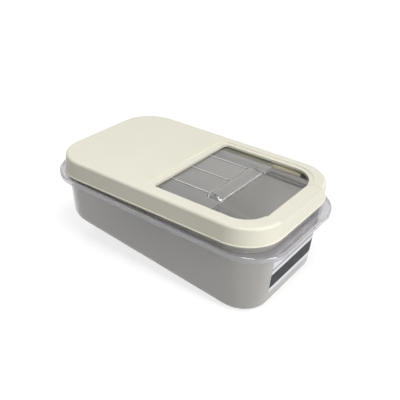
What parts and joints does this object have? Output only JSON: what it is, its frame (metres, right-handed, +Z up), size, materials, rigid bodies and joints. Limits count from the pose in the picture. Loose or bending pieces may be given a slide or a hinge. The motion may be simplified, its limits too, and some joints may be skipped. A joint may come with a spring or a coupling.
{
  "type": "grain storage bin with sliding shutter",
  "caption": "Low clear plastic grain bin with a sloping floor, a cream drop-on lid with a window, and a clear shutter that slides in rails under the lid.",
  "frame": {"origin": "middle of the bin's overall footprint, on the surface that it stands on", "axes": "+X along the bin towards the window end, +Y across it, +Z up"},
  "size_m": [0.4496, 0.26, 0.161],
  "materials": {
    "tub": "cloudy clear polypropylene, smooth",
    "lid": "cream moulded polypropylene, satin",
    "rail": "cream moulded polypropylene, satin",
    "shutter": "clear polystyrene, polished"
  },
  "bodies": {
    "tub": {"tub": "tub"},
    "lid": {"lid": "lid", "rail_near": "rail", "rail_far": "rail"},
    "shutter": {"shutter": "shutter"}
  },
  "joints": [
    {"name": "lid_lift", "type": "slide", "parent": "tub", "child": "lid", "axis": [0, 0, 1], "range_m": [0, 0.15]},
    {"name": "shutter_slide", "type": "slide", "parent": "lid", "child": "shutter", "axis": [1, 0, 0], "range_m": [-0.0765, 0.0824]}
  ]
}
